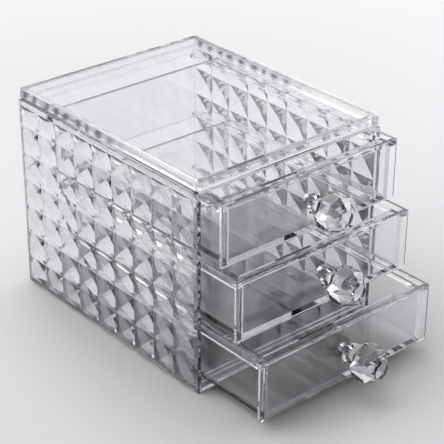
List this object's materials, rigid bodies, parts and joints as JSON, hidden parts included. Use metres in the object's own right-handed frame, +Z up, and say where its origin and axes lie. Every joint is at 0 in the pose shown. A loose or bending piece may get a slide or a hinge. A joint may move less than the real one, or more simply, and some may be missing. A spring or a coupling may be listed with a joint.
{
  "type": "drawer organizer",
  "caption": "Clear faceted desktop organizer with drawers on rails, faceted ball knobs and a raised rim round its top.",
  "frame": {"origin": "middle of the cabinet's footprint, on the surface it stands on", "axes": "+X to the right of someone facing the drawers, -Y the side the drawers open towards, +Z up"},
  "size_m": [0.1462, 0.2481, 0.135],
  "materials": {
    "clear_acrylic": "polished clear sheet",
    "cut_acrylic": "polished clear, cut in flat facets",
    "steel": "bright"
  },
  "bodies": {
    "cabinet": {"left_wall": "clear_acrylic", "right_wall": "clear_acrylic", "back_wall": "clear_acrylic", "base": "clear_acrylic", "top_panel": "clear_acrylic", "top_rim": "clear_acrylic", "top_left_rail": "clear_acrylic", "top_right_rail": "clear_acrylic", "middle_left_rail": "clear_acrylic", "middle_right_rail": "clear_acrylic", "bottom_left_rail": "clear_acrylic", "bottom_right_rail": "clear_acrylic"},
    "top_drawer": {"top_tray": "clear_acrylic", "top_front_plate": "clear_acrylic", "top_knob_ball": "cut_acrylic", "top_knob_collar": "cut_acrylic", "top_knob_screw": "steel"},
    "middle_drawer": {"middle_tray": "clear_acrylic", "middle_front_plate": "clear_acrylic", "middle_knob_ball": "cut_acrylic", "middle_knob_collar": "cut_acrylic", "middle_knob_screw": "steel"},
    "bottom_drawer": {"bottom_tray": "clear_acrylic", "bottom_front_plate": "clear_acrylic", "bottom_knob_ball": "cut_acrylic", "bottom_knob_collar": "cut_acrylic", "bottom_knob_screw": "steel"}
  },
  "joints": [
    {"name": "top_drawer_slide", "type": "slide", "parent": "cabinet", "child": "top_drawer", "axis": [0, -1, 0], "range_m": [-0.017, 0.103]},
    {"name": "middle_drawer_slide", "type": "slide", "parent": "cabinet", "child": "middle_drawer", "axis": [0, -1, 0], "range_m": [-0.0296, 0.0904]},
    {"name": "bottom_drawer_slide", "type": "slide", "parent": "cabinet", "child": "bottom_drawer", "axis": [0, -1, 0], "range_m": [-0.05, 0.07]}
  ]
}
